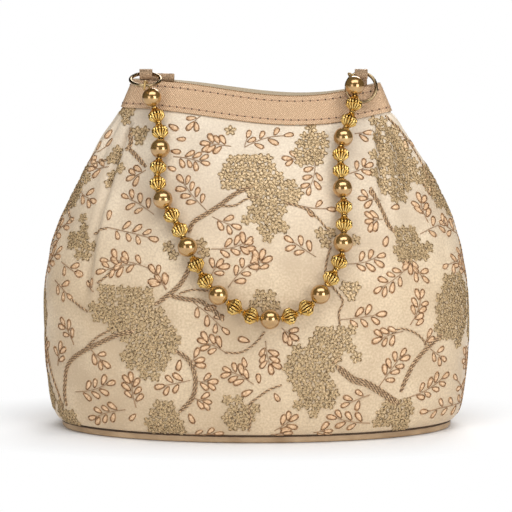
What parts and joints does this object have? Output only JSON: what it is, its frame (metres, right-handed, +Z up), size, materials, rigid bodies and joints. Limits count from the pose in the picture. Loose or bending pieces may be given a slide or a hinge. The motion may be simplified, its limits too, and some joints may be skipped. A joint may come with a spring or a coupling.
{
  "type": "potli bag",
  "caption": "Small embroidered satin potli bag on a stiff oval base, with a leatherette band at the mouth and a beaded handle on rings.",
  "frame": {"origin": "middle of the flat underside of the base", "axes": "+Z up, the front of the bag faces -Y, +X along its length"},
  "size_m": [0.2212, 0.1319, 0.185],
  "materials": {
    "ivory_satin": "soft sheen",
    "khaki_lining": "matt",
    "rose_leatherette": "woven grain",
    "tan_leatherette": "matt",
    "grey_board": "matt",
    "snap_metal": "satin",
    "ring_metal": "polished",
    "gold_thread": "metallic yarn",
    "bronze_pearl": "pearl",
    "bright_gold": "gold plated"
  },
  "bodies": {
    "bag": {"base_cover": "tan_leatherette", "base_board": "grey_board", "outer_fabric": "ivory_satin", "lining": "khaki_lining", "band_front": "rose_leatherette", "band_back": "rose_leatherette", "tab_left": "rose_leatherette", "tab_right": "rose_leatherette", "snap_stud": "snap_metal", "snap_socket": "snap_metal", "snap_washer_front": "snap_metal", "snap_washer_back": "snap_metal"},
    "handle": {"ring_left": "ring_metal", "ring_right": "ring_metal", "handle_cord": "gold_thread", "pearl_01": "bronze_pearl", "pearl_02": "bronze_pearl", "pearl_03": "bronze_pearl", "pearl_04": "bronze_pearl", "pearl_05": "bronze_pearl", "pearl_06": "bronze_pearl", "pearl_07": "bronze_pearl", "pearl_08": "bronze_pearl", "pearl_09": "bronze_pearl", "pearl_10": "bronze_pearl", "pearl_11": "bronze_pearl", "fluted_bead_01": "bright_gold", "fluted_bead_02": "bright_gold", "fluted_bead_03": "bright_gold", "fluted_bead_04": "bright_gold", "fluted_bead_05": "bright_gold", "fluted_bead_06": "bright_gold", "fluted_bead_07": "bright_gold", "fluted_bead_08": "bright_gold", "fluted_bead_09": "bright_gold", "fluted_bead_10": "bright_gold", "fluted_bead_11": "bright_gold", "fluted_bead_12": "bright_gold", "fluted_bead_13": "bright_gold", "fluted_bead_14": "bright_gold", "fluted_bead_15": "bright_gold", "fluted_bead_16": "bright_gold", "fluted_bead_17": "bright_gold", "fluted_bead_18": "bright_gold", "fluted_bead_19": "bright_gold", "fluted_bead_20": "bright_gold"}
  },
  "joints": [
    {"name": "handle_swing", "type": "hinge", "parent": "bag", "child": "handle", "pos_m": [0, -0.0052, 0.18253], "axis": [-1, 0, 0], "range_deg": [0, 180]}
  ]
}
